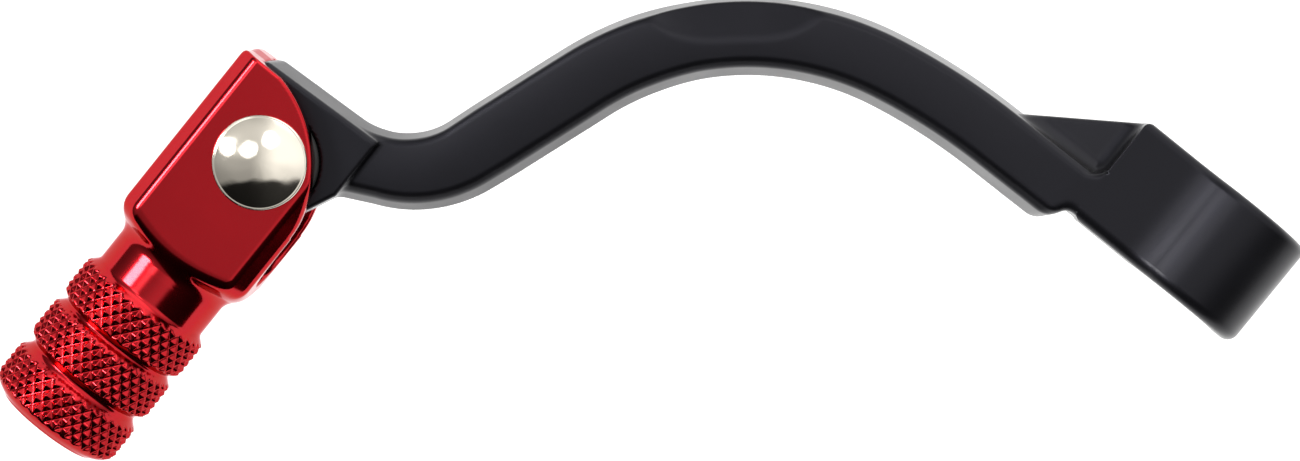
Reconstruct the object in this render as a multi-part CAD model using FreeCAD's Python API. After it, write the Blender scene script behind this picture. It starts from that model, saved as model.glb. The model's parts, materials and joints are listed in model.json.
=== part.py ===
"""Motorcycle gear shift lever with a spring-loaded folding tip.

The origin is the centre of the splined bore. +Y runs along the shift shaft, away from the engine,
+X runs forward to the tip and +Z is the upper side of the lever. All sizes are in millimetres.
"""

import FreeCAD
import Part

import math
import os

Vector = FreeCAD.Vector
X_AXIS = Vector(1, 0, 0)
Y_AXIS = Vector(0, 1, 0)
Z_AXIS = Vector(0, 0, 1)

# Splined bore for a 12 mm shift shaft
TOOTH_COUNT = 24
TOOTH_TIP_RADIUS = 5.65
TOOTH_ROOT_RADIUS = 6.15
TOOTH_TIP_SHARE = 0.45  # of the tooth pitch
TOOTH_ROOT_SHARE = 0.25
BORE_CHAMFER = 0.6

# Hub, and the level deck between it and the arm
HUB_RADIUS = 9.45
HUB_HALF_WIDTH = 7.5
HUB_EDGE_ROUND = 0.8
DECK_FRONT = 16.5
DECK_HALF_HEIGHT = 7.0
DECK_FILLET = 9.0

# Pinch ears under the bore
SLIT_WIDTH = 2.0
EAR_BOTTOM = -16.0
EAR_REAR = -4.3
EAR_FRONT = 13.0
EAR_HALF_WIDTH = 6.7
EAR_TOP = -5.0  # inside the hub and the deck
BOLT_RADIUS = 3.0
BOLT_HEIGHT = -11.0
BOLT_LENGTH = 16.0
BOLT_HOLE_CLEARANCE = 0.06
BOLT_HEAD_RADIUS = 5.0
BOLT_HEAD_HEIGHT = 4.0
BOLT_HEAD_CHAMFER = 0.4
BOLT_SOCKET_FLATS = 4.0
BOLT_SOCKET_DEPTH = 2.3
BOLT_WASHER_RADIUS = 5.1
BOLT_WASHER_THICKNESS = 0.8
SPOT_FACE_RADIUS = 5.3

# Arm centre line, from the hub to the tip: (length, None) is straight, (radius, turn) is an arc
ARM_START_X = 12.0
ARM_START_Y = 5.75
ARM_START_ANGLE = 1.0
ARM_ROUTE = [(18.2, None), (80.0, 11.0), (38.0, 59.0), (16.8, None), (14.2, -46.0), (5.2, None)]

# Arm section: forged, widest at mid height, with bevelled edges
ARM_HALF_WIDTH = 4.75
ARM_HALF_HEIGHT_AT_HUB = 7.0
ARM_HALF_HEIGHT_AT_TIP = 4.2
OUTER_DRAFT = 1.05
OUTER_BEVEL_WIDTH = 1.1
OUTER_BEVEL_DEPTH = 1.1
INNER_DRAFT = 0.8
INNER_BEVEL_WIDTH = 0.8
INNER_BEVEL_DEPTH = 0.6
CROWN_WIDTH = 3.8  # extra bevel on the inner side of the big bend
CROWN_DEPTH = 1.6
CROWN_START = 41.0  # distances along the centre line
CROWN_END = 70.0
ARM_END_CORNER = Vector(17.4, 7.2, 0)
ARM_END_STEPS = [(0, 0), (0.7, 1.6), (1.6, 2.7), (3.2, 3.4), (3.2, 6.0)]  # from that corner

# Gusset web between the hub and the arm
GUSSET_HALF_HEIGHT = 4.2
GUSSET_TIP = Vector(28.4, 1.2, 0)
GUSSET_REAR = Vector(16.3, -7.1, 0)
GUSSET_CORNER_Y = 1.6
GUSSET_CORNER_ROUND = 2.5
GUSSET_OVERLAP_ARM = 2.0
GUSSET_OVERLAP_DECK = 1.0

# Pivot of the folding tip
PIVOT_X = 98.2
PIVOT_Y = 65.2
PIN_RADIUS = 3.5
PIN_EAR_CLEARANCE = 0.03
PIN_BUSH_CLEARANCE = 0.05

# Tongue at the end of the arm
TONGUE_HALF_HEIGHT = 5.3
TONGUE_HEEL_RADIUS = 7.8
TONGUE_REAR_X = 88.6
TONGUE_INNER_Y_REAR = 53.4  # at mid height
TONGUE_INNER_Y_FRONT = 54.2
TONGUE_INNER_DRAFT = 1.1
TONGUE_FRONT_CORNER = 1.2
TONGUE_OUTER_Y = 62.9
TONGUE_EDGE_BEVEL = 0.5

# Bush, spring and seals in the tongue
BUSH_RADIUS = 4.6
BUSH_FLANGE_RADIUS = 5.2
BUSH_FLANGE_THICKNESS = 1.0
BUSH_TOP = -0.8
SPRING_POCKET_RADIUS = 5.2
SPRING_WIRE_RADIUS = 0.6
SPRING_MEAN_RADIUS = 4.4
SPRING_TURNS = 3.5
SPRING_PITCH = 1.25
SPRING_BASE = -0.2
SPRING_LEG_ANGLE = 200.0  # of the lower leg, about the pivot from +X
SPRING_LEG_REACH = 7.3
SPRING_LEG_END_GAP = 0.6
SPRING_BEND_RADIUS = 0.8  # between the coil and the upright leg
SPRING_TOP_LEG = 2.0  # its length in the upper ear
SPRING_HOLE_CLEARANCE = 0.1
SEAL_MEAN_RADIUS = 6.4
SEAL_WIRE_RADIUS = 0.5
SEAL_GROOVE_HALF_WIDTH = 0.6
SEAL_GROOVE_DEPTH = 0.8

# Folding tip: a square bracket with a round neck and toe peg on its outboard end
SLOT_HALF_HEIGHT = 5.6
BRACKET_REAR = 89.5
BRACKET_FRONT = 108.8
BRACKET_HALF_HEIGHT = 9.0
BRACKET_BEVEL = 2.1
BRACKET_INNER_Y = 55.5
SWEEP_START = Vector(4.6, -9.7, 0)  # the round inner end of the ears, from the pivot
SWEEP_MIDDLE = Vector(-4.8, -4.2, 0)
SWEEP_END_Y = 5.4
STOP_CLEARANCE = 0.04  # between the tongue and the slot's back wall at rest
SLOT_END_Y = 78.3
PEG_AXIS_X = 99.15
PEG_END_Y = 108.5
NECK_RADIUS = 7.9
NECK_FILLET = 1.1
BRACKET_SHOULDER_Y = 81.7  # where the neck's fillet starts
BRACKET_END_SLOPE = 0.52  # the end falls back by this much per mm of radius
BRACKET_END_RADIUS = 12.8
RING_STARTS = [89.0, 95.6, 102.6]
RING_ENDS = [93.3, 99.9, 106.6]
RING_RADIUS = 9.1
RING_CONE_LENGTH = 1.2
RING_CHAMFER = 0.9
GROOVE_RADIUS = 7.9
PEG_END_SHOULDER = (1.1, 8.2)  # distance past the last ring, and radius
PEG_END_RADIUS = 6.6

# Pin head and what holds the pin from below
PIN_HEAD_RADIUS = 5.9
PIN_HEAD_RIM = 0.7
PIN_DOME_RISE = 1.5
PIN_BOTTOM = -11.6
PIN_WASHER_RADIUS = 5.5
PIN_WASHER_THICKNESS = 0.7
RING_GROOVE_RADIUS = 2.9
RING_GROOVE_WIDTH = 0.9
RETAINING_RING_RADIUS = 5.0
RETAINING_RING_THICKNESS = 0.8
RETAINING_RING_GAP = 3.0
RETAINING_RING_PLAY = 0.05

PIVOT = Vector(PIVOT_X, PIVOT_Y, 0)
SLOT_BACK = PIVOT_X + TONGUE_HEEL_RADIUS + STOP_CLEARANCE


# --- helpers -------------------------------------------------------------------------------------


def polar(radius, degrees, centre=Vector(0, 0, 0)):
    """A point in a level plane, at a radius and angle about a centre."""
    angle = math.radians(degrees)
    return centre + Vector(radius * math.cos(angle), radius * math.sin(angle), 0)


def level_prism(wire, low, high):
    """A closed wire in the plane z = 0, extruded from one height to another."""
    face = Part.Face(wire)
    face.translate(Vector(0, 0, low))
    return face.extrude(Vector(0, 0, high - low))


def polygon(points):
    return Part.makePolygon(points + [points[0]])


def pivot_cylinder(radius, low, high):
    return Part.makeCylinder(radius, high - low, PIVOT + Vector(0, 0, low), Z_AXIS)


def pivot_ring(outer, inner, low, high):
    return pivot_cylinder(outer, low, high).cut(pivot_cylinder(inner, low, high))


def bolt_cylinder(radius, rear, front):
    return Part.makeCylinder(radius, front - rear, Vector(rear, 0, BOLT_HEIGHT), X_AXIS)


def turned_about_peg(profile):
    """A turned solid from (y, radius) points, closed along the peg's axis."""
    first = Vector(PEG_AXIS_X, profile[0][0], 0)
    last = Vector(PEG_AXIS_X, profile[-1][0], 0)
    outline = [Vector(PEG_AXIS_X + radius, y, 0) for y, radius in profile]
    face = Part.Face(polygon([first] + outline + [last]))
    return face.revolve(first, Y_AXIS, 360)


# --- lever arm -----------------------------------------------------------------------------------


def arm_route_length():
    total = 0.0
    for size, turn in ARM_ROUTE:
        total += size if turn is None else size * math.radians(abs(turn))
    return total


def arm_frame(distance):
    """The point and heading on the arm's centre line, at a distance from its start."""
    point = Vector(ARM_START_X, ARM_START_Y, 0)
    heading = math.radians(ARM_START_ANGLE)
    left = distance
    for size, turn in ARM_ROUTE:
        length = size if turn is None else size * math.radians(abs(turn))
        step = min(left, length)
        if turn is None:
            point = point + Vector(math.cos(heading), math.sin(heading), 0) * step
        else:
            bend = math.copysign(step / size, turn)
            chord = 2 * size * math.sin(abs(bend) / 2)
            middle = heading + bend / 2
            point = point + Vector(math.cos(middle), math.sin(middle), 0) * chord
            heading += bend
        left -= step
        if left <= 0:
            break
    return point, heading


def crown_share(distance):
    """How far the crown's bevel has grown at a distance along the arm, from 0 to 1."""
    place = (distance - CROWN_START) / (CROWN_END - CROWN_START)
    if place <= 0 or place >= 1:
        return 0.0
    return math.sin(math.pi * place) ** 1.2


def arm_half_height(distance):
    share = distance / arm_route_length()
    return ARM_HALF_HEIGHT_AT_HUB + (ARM_HALF_HEIGHT_AT_TIP - ARM_HALF_HEIGHT_AT_HUB) * share


def arm_section(distance):
    """The arm's section: six corners above mid height, mirrored below."""
    height = arm_half_height(distance)
    crown = crown_share(distance)
    outer_edge = ARM_HALF_WIDTH - OUTER_DRAFT
    inner_edge = ARM_HALF_WIDTH - INNER_DRAFT
    bevel_width = INNER_BEVEL_WIDTH + CROWN_WIDTH * crown
    bevel_depth = INNER_BEVEL_DEPTH + CROWN_DEPTH * crown
    upper = [
        (outer_edge, height - OUTER_BEVEL_DEPTH),
        (outer_edge - OUTER_BEVEL_WIDTH, height),
        (bevel_width - inner_edge, height),
        (-inner_edge, height - bevel_depth),
    ]
    lower = [(offset, -z) for offset, z in reversed(upper)]
    outline = [(ARM_HALF_WIDTH, 0)] + upper + [(-ARM_HALF_WIDTH, 0)] + lower
    point, heading = arm_frame(distance)
    across = Vector(-math.sin(heading), math.cos(heading), 0)
    return polygon([point + across * offset + Z_AXIS * z for offset, z in outline])


def arm_stations():
    """Distances along the arm where its section is set: close together only where it changes."""
    ends = [0.0]
    for size, turn in ARM_ROUTE:
        length = size if turn is None else size * math.radians(abs(turn))
        pieces = max(1, round(length / 6.0)) if turn is None else max(2, round(length / 3.5))
        start = ends[-1]
        for piece in range(1, pieces + 1):
            ends.append(start + length * piece / pieces)
    return ends


def arm_beam():
    sections = [arm_section(distance) for distance in arm_stations()]
    beam = Part.makeLoft(sections, True, False)
    notch = [ARM_END_CORNER + Vector(x, y, 0) for x, y in ARM_END_STEPS]
    notch += [Vector(0, notch[-1].y, 0), Vector(0, ARM_END_CORNER.y, 0)]
    reach = ARM_HALF_HEIGHT_AT_HUB + 1
    return beam.cut(level_prism(polygon(notch), -reach, reach))


def hub_outline():
    """The hub and deck seen along the shaft, as a closed wire at the inboard face."""
    fillet_z = DECK_HALF_HEIGHT + DECK_FILLET
    fillet_x = math.sqrt((HUB_RADIUS + DECK_FILLET) ** 2 - fillet_z ** 2)
    reach = HUB_RADIUS / (HUB_RADIUS + DECK_FILLET)
    lower_x = math.sqrt(HUB_RADIUS ** 2 - DECK_HALF_HEIGHT ** 2)

    def point(x, z):
        return Vector(x, -HUB_HALF_WIDTH, z)

    fillet_angle = math.atan2(fillet_z, fillet_x)
    inside_angle = (math.pi + fillet_angle + 1.5 * math.pi) / 2
    fillet_middle = point(
        fillet_x + DECK_FILLET * math.cos(inside_angle),
        fillet_z + DECK_FILLET * math.sin(inside_angle),
    )
    hub_end = point(fillet_x * reach, fillet_z * reach)
    deck_start = point(fillet_x, DECK_HALF_HEIGHT)
    start = point(lower_x, -DECK_HALF_HEIGHT)
    edges = [
        Part.Arc(start, point(-HUB_RADIUS, 0), hub_end).toShape(),
        Part.Arc(hub_end, fillet_middle, deck_start).toShape(),
    ]
    corners = [
        deck_start,
        point(DECK_FRONT, DECK_HALF_HEIGHT),
        point(DECK_FRONT, -DECK_HALF_HEIGHT),
        start,
    ]
    edges += [Part.makeLine(a, b) for a, b in zip(corners, corners[1:])]
    return Part.Wire(edges)


def hub_body():
    block = Part.Face(hub_outline()).extrude(Vector(0, 2 * HUB_HALF_WIDTH, 0))

    def lies_on_end_face(edge):
        return all(abs(abs(v.Point.y) - HUB_HALF_WIDTH) < 1e-6 for v in edge.Vertexes)

    rims = [edge for edge in block.Edges if lies_on_end_face(edge)]
    return block.makeFillet(HUB_EDGE_ROUND, rims)


def pinch_ears():
    ears = Part.makeBox(EAR_FRONT - EAR_REAR, 2 * EAR_HALF_WIDTH, EAR_TOP - EAR_BOTTOM)
    ears.translate(Vector(EAR_REAR, -EAR_HALF_WIDTH, EAR_BOTTOM))
    return ears


def gusset_web():
    """A flat web, thinner than the arm, that runs into the arm and into the deck's front face."""
    inside_arm = GUSSET_TIP.y + GUSSET_OVERLAP_ARM
    inside_deck = DECK_FRONT - GUSSET_OVERLAP_DECK
    corners = [
        Vector(GUSSET_TIP.x, inside_arm, 0),
        Vector(inside_deck, inside_arm, 0),
        Vector(inside_deck, GUSSET_REAR.y, 0),
        GUSSET_REAR,
        GUSSET_TIP,
    ]
    return level_prism(polygon(corners), -GUSSET_HALF_HEIGHT, GUSSET_HALF_HEIGHT)


def gusset_corner_fill():
    """Concave rounding where the deck's front face meets the arm's inner side."""
    size = GUSSET_CORNER_ROUND
    half_height = DECK_HALF_HEIGHT - HUB_EDGE_ROUND
    overlap = 0.5
    block = Part.makeBox(size + overlap, size + overlap, 2 * half_height)
    block.translate(Vector(DECK_FRONT - overlap, GUSSET_CORNER_Y - size, -half_height))
    centre = Vector(DECK_FRONT + size, GUSSET_CORNER_Y - size, -DECK_HALF_HEIGHT)
    return block.cut(Part.makeCylinder(size, 2 * DECK_HALF_HEIGHT, centre, Z_AXIS))


def spline_cutter():
    """The shaft's space: a root circle with the teeth standing into it down to the tip circle."""
    half_length = HUB_HALF_WIDTH + 1.0
    pitch = 360.0 / TOOTH_COUNT
    tip_half = pitch * TOOTH_TIP_SHARE / 2
    root_half = pitch * TOOTH_ROOT_SHARE / 2
    edges = []
    for tooth in range(TOOTH_COUNT):
        middle = tooth * pitch
        tip_end = polar(TOOTH_TIP_RADIUS, middle + tip_half)
        root_start = polar(TOOTH_ROOT_RADIUS, middle + pitch / 2 - root_half)
        root_end = polar(TOOTH_ROOT_RADIUS, middle + pitch / 2 + root_half)
        next_tip = polar(TOOTH_TIP_RADIUS, middle + pitch - tip_half)
        tip_start = polar(TOOTH_TIP_RADIUS, middle - tip_half)
        edges.append(Part.Arc(tip_start, polar(TOOTH_TIP_RADIUS, middle), tip_end).toShape())
        edges.append(Part.makeLine(tip_end, root_start))
        root_middle = polar(TOOTH_ROOT_RADIUS, middle + pitch / 2)
        edges.append(Part.Arc(root_start, root_middle, root_end).toShape())
        edges.append(Part.makeLine(root_end, next_tip))
    space = level_prism(Part.Wire(edges), -half_length, half_length)
    space.rotate(Vector(0, 0, 0), X_AXIS, 90)
    for side in (-1, 1):
        mouth = Part.makeCone(
            TOOTH_ROOT_RADIUS + 0.5, TOOTH_ROOT_RADIUS - BORE_CHAMFER, BORE_CHAMFER + 0.5,
            Vector(0, side * HUB_HALF_WIDTH, 0), Vector(0, -side, 0),
        )
        space = space.fuse(mouth)
    return space


def pinch_cutters():
    slit = Part.makeBox(SLIT_WIDTH, 2 * HUB_HALF_WIDTH + 2, -EAR_BOTTOM)
    slit.translate(Vector(-SLIT_WIDTH / 2, -HUB_HALF_WIDTH - 1, EAR_BOTTOM - 1))
    hole = bolt_cylinder(BOLT_RADIUS + BOLT_HOLE_CLEARANCE, EAR_REAR - 1, EAR_FRONT + 1)
    spot_face = bolt_cylinder(SPOT_FACE_RADIUS, -HUB_RADIUS - 1, EAR_REAR)
    return [slit, hole, spot_face]


def tongue_body():
    """Flat front side, round heel about the pivot, and a drafted inner side with a cut corner."""
    heel = TONGUE_HEEL_RADIUS
    front = PIVOT_X + heel
    rear_outer = Vector(TONGUE_REAR_X, TONGUE_OUTER_Y, 0)
    away = math.hypot(rear_outer.x - PIVOT_X, rear_outer.y - PIVOT_Y)
    toward = math.degrees(math.atan2(rear_outer.y - PIVOT_Y, rear_outer.x - PIVOT_X))
    tangent = toward - math.degrees(math.acos(heel / away))
    arc_end = polar(heel, tangent, PIVOT)
    arc_middle = polar(heel, (tangent % 360) / 2, PIVOT)
    corners = [
        arc_end,
        rear_outer,
        Vector(TONGUE_REAR_X, TONGUE_INNER_Y_REAR, 0),
        Vector(front - TONGUE_FRONT_CORNER, TONGUE_INNER_Y_FRONT, 0),
        Vector(front, TONGUE_INNER_Y_FRONT + TONGUE_FRONT_CORNER, 0),
        Vector(front, PIVOT_Y, 0),
    ]
    edges = [Part.makeLine(a, b) for a, b in zip(corners, corners[1:])]
    edges.append(Part.Arc(corners[-1], arc_middle, arc_end).toShape())
    body = level_prism(Part.Wire(edges), -TONGUE_HALF_HEIGHT, TONGUE_HALF_HEIGHT)
    rims = [
        edge for edge in body.Edges
        if all(abs(abs(v.Point.z) - TONGUE_HALF_HEIGHT) < 1e-6 for v in edge.Vertexes)
    ]
    return body.makeChamfer(TONGUE_EDGE_BEVEL, rims).common(tongue_draft())


def tongue_draft():
    """What the die leaves of the inner side: a ridge at mid height and a slope above and below."""
    slope_y = TONGUE_INNER_Y_REAR + TONGUE_INNER_DRAFT
    slope_z = TONGUE_HALF_HEIGHT - TONGUE_EDGE_BEVEL
    far_y = PIVOT_Y + TONGUE_HEEL_RADIUS + 1
    start = TONGUE_REAR_X
    upper = [
        Vector(start, TONGUE_INNER_Y_REAR, 0),
        Vector(start, slope_y, slope_z),
        Vector(start, slope_y + 1, slope_z + 1),
        Vector(start, far_y, slope_z + 1),
    ]
    lower = [Vector(start, corner.y, -corner.z) for corner in reversed(upper[1:])]
    length = PIVOT_X + TONGUE_HEEL_RADIUS - start
    way = Vector(length, TONGUE_INNER_Y_FRONT - TONGUE_INNER_Y_REAR, 0)
    return Part.Face(polygon(upper + lower)).extrude(way)


def tongue_cutters():
    top = TONGUE_HALF_HEIGHT + 1
    groove_outer = SEAL_MEAN_RADIUS + SEAL_GROOVE_HALF_WIDTH
    groove_inner = SEAL_MEAN_RADIUS - SEAL_GROOVE_HALF_WIDTH
    groove_floor = TONGUE_HALF_HEIGHT - SEAL_GROOVE_DEPTH
    flange_seat = -TONGUE_HALF_HEIGHT + BUSH_FLANGE_THICKNESS
    leg_slot = Part.makeBox(SPRING_LEG_REACH + 0.2, 2 * SPRING_WIRE_RADIUS + 0.3, top)
    leg_slot.translate(Vector(0, SPRING_MEAN_RADIUS - SPRING_WIRE_RADIUS - 0.15, BUSH_TOP))
    leg_slot.rotate(Vector(0, 0, 0), Z_AXIS, SPRING_LEG_ANGLE)
    leg_slot.translate(PIVOT)
    slot_floor = pivot_cylinder(SPRING_LEG_REACH, BUSH_TOP, SPRING_BASE + 2 * SPRING_WIRE_RADIUS + 0.1)
    return [
        pivot_cylinder(BUSH_RADIUS, -top, BUSH_TOP + 0.1),
        pivot_cylinder(SPRING_POCKET_RADIUS, BUSH_TOP, top),
        pivot_cylinder(BUSH_FLANGE_RADIUS, -top, flange_seat),
        pivot_ring(groove_outer, groove_inner, groove_floor, top),
        pivot_ring(groove_outer, groove_inner, -top, -groove_floor),
        leg_slot.common(slot_floor),
    ]


def lever_arm():
    body = hub_body().fuse(
        [pinch_ears(), arm_beam(), gusset_web(), gusset_corner_fill(), tongue_body()]
    )
    return body.cut([spline_cutter()] + pinch_cutters() + tongue_cutters()).removeSplitter()


# --- folding tip ---------------------------------------------------------------------------------


def bracket_plan():
    """The bracket from above: its inner end sweeps round to the rear side."""
    sweep_start = PIVOT + SWEEP_START
    sweep_end = Vector(BRACKET_REAR, PIVOT_Y + SWEEP_END_Y, 0)
    outer_y = BRACKET_SHOULDER_Y + NECK_FILLET
    corners = [
        sweep_end,
        Vector(BRACKET_REAR, outer_y, 0),
        Vector(BRACKET_FRONT, outer_y, 0),
        Vector(BRACKET_FRONT, BRACKET_INNER_Y, 0),
        sweep_start,
    ]
    edges = [Part.makeLine(a, b) for a, b in zip(corners, corners[1:])]
    edges.append(Part.Arc(sweep_start, PIVOT + SWEEP_MIDDLE, sweep_end).toShape())
    return Part.Wire(edges)


def bracket_body():
    """The plan outline cut down to a bar with bevelled long edges and a turned outboard end."""
    length = PEG_END_Y - BRACKET_INNER_Y
    section = [
        Vector(BRACKET_REAR, 0, BRACKET_BEVEL - BRACKET_HALF_HEIGHT),
        Vector(BRACKET_REAR + BRACKET_BEVEL, 0, -BRACKET_HALF_HEIGHT),
        Vector(BRACKET_FRONT - BRACKET_BEVEL, 0, -BRACKET_HALF_HEIGHT),
        Vector(BRACKET_FRONT, 0, BRACKET_BEVEL - BRACKET_HALF_HEIGHT),
        Vector(BRACKET_FRONT, 0, BRACKET_HALF_HEIGHT - BRACKET_BEVEL),
        Vector(BRACKET_FRONT - BRACKET_BEVEL, 0, BRACKET_HALF_HEIGHT),
        Vector(BRACKET_REAR + BRACKET_BEVEL, 0, BRACKET_HALF_HEIGHT),
        Vector(BRACKET_REAR, 0, BRACKET_HALF_HEIGHT - BRACKET_BEVEL),
    ]
    bar = Part.Face(polygon(section)).extrude(Vector(0, length, 0))
    bar.translate(Vector(0, BRACKET_INNER_Y - 1, 0))
    plan = level_prism(bracket_plan(), -BRACKET_HALF_HEIGHT - 1, BRACKET_HALF_HEIGHT + 1)
    return bar.common(plan).common(turned_end())


def turned_end():
    """What the lathe leaves of the bar: its end falls back outwards, and a fillet leads to the neck."""

    def point(y, radius):
        return Vector(PEG_AXIS_X + radius, y, 0)

    start_y = BRACKET_INNER_Y - 1
    fillet_y = BRACKET_SHOULDER_Y + NECK_FILLET
    fillet_top = NECK_RADIUS + NECK_FILLET
    fall = BRACKET_END_SLOPE * (BRACKET_END_RADIUS - fillet_top)
    inset = NECK_FILLET * math.sqrt(0.5)
    before = [
        point(start_y, 0),
        point(start_y, BRACKET_END_RADIUS),
        point(BRACKET_SHOULDER_Y - fall, BRACKET_END_RADIUS),
        point(BRACKET_SHOULDER_Y, fillet_top),
    ]
    after = [point(fillet_y, NECK_RADIUS), point(fillet_y, 0), before[0]]
    edges = [Part.makeLine(a, b) for a, b in zip(before, before[1:])]
    middle = point(fillet_y - inset, fillet_top - inset)
    edges.append(Part.Arc(before[-1], middle, after[0]).toShape())
    edges += [Part.makeLine(a, b) for a, b in zip(after, after[1:])]
    return Part.Face(Part.Wire(edges)).revolve(before[0], Y_AXIS, 360)


def peg_body():
    """Neck, then rings that each start with a cone and end with a chamfer, then a rounded end."""
    profile = [(BRACKET_SHOULDER_Y + NECK_FILLET, NECK_RADIUS)]
    for start, end in zip(RING_STARTS, RING_ENDS):
        profile += [
            (start - RING_CONE_LENGTH, GROOVE_RADIUS),
            (start, RING_RADIUS),
            (end, RING_RADIUS),
        ]
        if end != RING_ENDS[-1]:
            profile.append((end + RING_CHAMFER, GROOVE_RADIUS))
    past_ring, shoulder_radius = PEG_END_SHOULDER
    profile += [(RING_ENDS[-1] + past_ring, shoulder_radius), (PEG_END_Y, PEG_END_RADIUS)]
    return turned_about_peg(profile)


def slot_cutter():
    """The arm's slot: open at the rear and inner sides, with a round outboard end."""
    depth = SLOT_BACK - BRACKET_REAR + 2
    end_centre = SLOT_END_Y - SLOT_HALF_HEIGHT
    start = BRACKET_INNER_Y - 2
    straight = Part.makeBox(depth, end_centre - start, 2 * SLOT_HALF_HEIGHT)
    straight.translate(Vector(BRACKET_REAR - 2, start, -SLOT_HALF_HEIGHT))
    end = Part.makeCylinder(
        SLOT_HALF_HEIGHT, depth, Vector(BRACKET_REAR - 2, end_centre, 0), X_AXIS
    )
    return straight.fuse(end)


def spring_ear_hole():
    """Hole in the upper ear for the spring's upright leg."""
    foot = spring_top_leg_foot()
    start = Vector(foot.x, foot.y, SLOT_HALF_HEIGHT - 1)
    depth = SPRING_TOP_LEG + SPRING_HOLE_CLEARANCE
    return Part.makeCylinder(SPRING_WIRE_RADIUS + SPRING_HOLE_CLEARANCE, 1 + depth, start, Z_AXIS)


def toe_peg():
    body = bracket_body().fuse(peg_body())
    reach = BRACKET_HALF_HEIGHT + 1
    pin_hole = pivot_cylinder(PIN_RADIUS + PIN_EAR_CLEARANCE, -reach, reach)
    return body.cut([slot_cutter(), pin_hole, spring_ear_hole()]).removeSplitter()


# --- pivot ---------------------------------------------------------------------------------------


def pivot_pin():
    """Shank with a ring groove near its lower end, under a shallow domed head."""
    seat = BRACKET_HALF_HEIGHT
    groove_top = -BRACKET_HALF_HEIGHT - PIN_WASHER_THICKNESS
    rise = PIN_DOME_RISE
    dome_radius = (PIN_HEAD_RADIUS ** 2 + rise ** 2) / (2 * rise)
    top = seat + PIN_HEAD_RIM + rise
    rim = Part.makeCylinder(PIN_HEAD_RADIUS, PIN_HEAD_RIM + rise, PIVOT + Z_AXIS * seat, Z_AXIS)
    ball = Part.makeSphere(dome_radius, PIVOT + Z_AXIS * (top - dome_radius))
    shank = pivot_cylinder(PIN_RADIUS, PIN_BOTTOM, seat)
    groove = pivot_ring(
        PIN_RADIUS + 1, RING_GROOVE_RADIUS, groove_top - RING_GROOVE_WIDTH, groove_top
    )
    return shank.cut(groove).fuse(rim.common(ball)).removeSplitter()


def pivot_bush():
    outer = pivot_cylinder(BUSH_RADIUS, -TONGUE_HALF_HEIGHT, BUSH_TOP)
    flange = pivot_cylinder(
        BUSH_FLANGE_RADIUS, -TONGUE_HALF_HEIGHT, -TONGUE_HALF_HEIGHT + BUSH_FLANGE_THICKNESS
    )
    bore = pivot_cylinder(PIN_RADIUS + PIN_BUSH_CLEARANCE, -TONGUE_HALF_HEIGHT - 1, BUSH_TOP + 1)
    return outer.fuse(flange).cut(bore).removeSplitter()


def spring_top_angle():
    """Where the coil ends above: it starts below at a quarter turn from the lower leg's way."""
    return SPRING_LEG_ANGLE + 90 + 360 * SPRING_TURNS


def spring_top_leg_foot():
    """The foot of the upright leg, past the bend at the coil's upper end."""
    angle = spring_top_angle()
    end = polar(SPRING_MEAN_RADIUS, angle, PIVOT) + polar(SPRING_BEND_RADIUS, angle + 90)
    height = SPRING_BASE + SPRING_WIRE_RADIUS + SPRING_TURNS * SPRING_PITCH
    return end + Z_AXIS * (height + SPRING_BEND_RADIUS)


def return_spring():
    """Torsion spring: a straight lower leg in the tongue, the coil, and an upright upper leg."""
    base = SPRING_BASE + SPRING_WIRE_RADIUS
    height = SPRING_TURNS * SPRING_PITCH
    helix = Part.makeHelix(SPRING_PITCH, height, SPRING_MEAN_RADIUS)
    section_centre = Vector(SPRING_MEAN_RADIUS, 0, 0)
    wire_section = Part.Wire(Part.makeCircle(SPRING_WIRE_RADIUS, section_centre, Y_AXIS))
    coil = Part.Wire(helix.Edges).makePipeShell([wire_section], True, True)
    coil.rotate(Vector(0, 0, 0), Z_AXIS, SPRING_LEG_ANGLE + 90)
    coil.translate(PIVOT + Z_AXIS * base)
    leg_start = polar(SPRING_MEAN_RADIUS, SPRING_LEG_ANGLE + 90, PIVOT) + Z_AXIS * base
    leg_way = polar(1.0, SPRING_LEG_ANGLE)
    leg_length = math.sqrt(SPRING_LEG_REACH ** 2 - SPRING_MEAN_RADIUS ** 2) - SPRING_LEG_END_GAP
    lower_leg = Part.makeCylinder(SPRING_WIRE_RADIUS, leg_length, leg_start, leg_way)
    top_angle = spring_top_angle()
    coil_end = polar(SPRING_MEAN_RADIUS, top_angle, PIVOT) + Z_AXIS * (base + height)
    bend_section = Part.makeCircle(SPRING_WIRE_RADIUS, coil_end, polar(1.0, top_angle + 90))
    bend_centre = coil_end + Z_AXIS * SPRING_BEND_RADIUS
    bend = Part.Face(Part.Wire(bend_section)).revolve(bend_centre, polar(-1.0, top_angle), -90)
    foot = spring_top_leg_foot()
    leg_top = SLOT_HALF_HEIGHT + SPRING_TOP_LEG
    upper_leg = Part.makeCylinder(SPRING_WIRE_RADIUS, leg_top - foot.z, foot, Z_AXIS)
    return coil.fuse([lower_leg, bend, upper_leg])


def dust_seal(side):
    """O-ring in a groove of the tongue, standing just clear of the slot's wall."""
    height = side * (SLOT_HALF_HEIGHT - SEAL_WIRE_RADIUS - 0.03)
    return Part.makeTorus(SEAL_MEAN_RADIUS, SEAL_WIRE_RADIUS, PIVOT + Z_AXIS * height, Z_AXIS)


def pin_washer():
    top = -BRACKET_HALF_HEIGHT
    return pivot_ring(
        PIN_WASHER_RADIUS, PIN_RADIUS + PIN_EAR_CLEARANCE, top - PIN_WASHER_THICKNESS, top
    )


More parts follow.
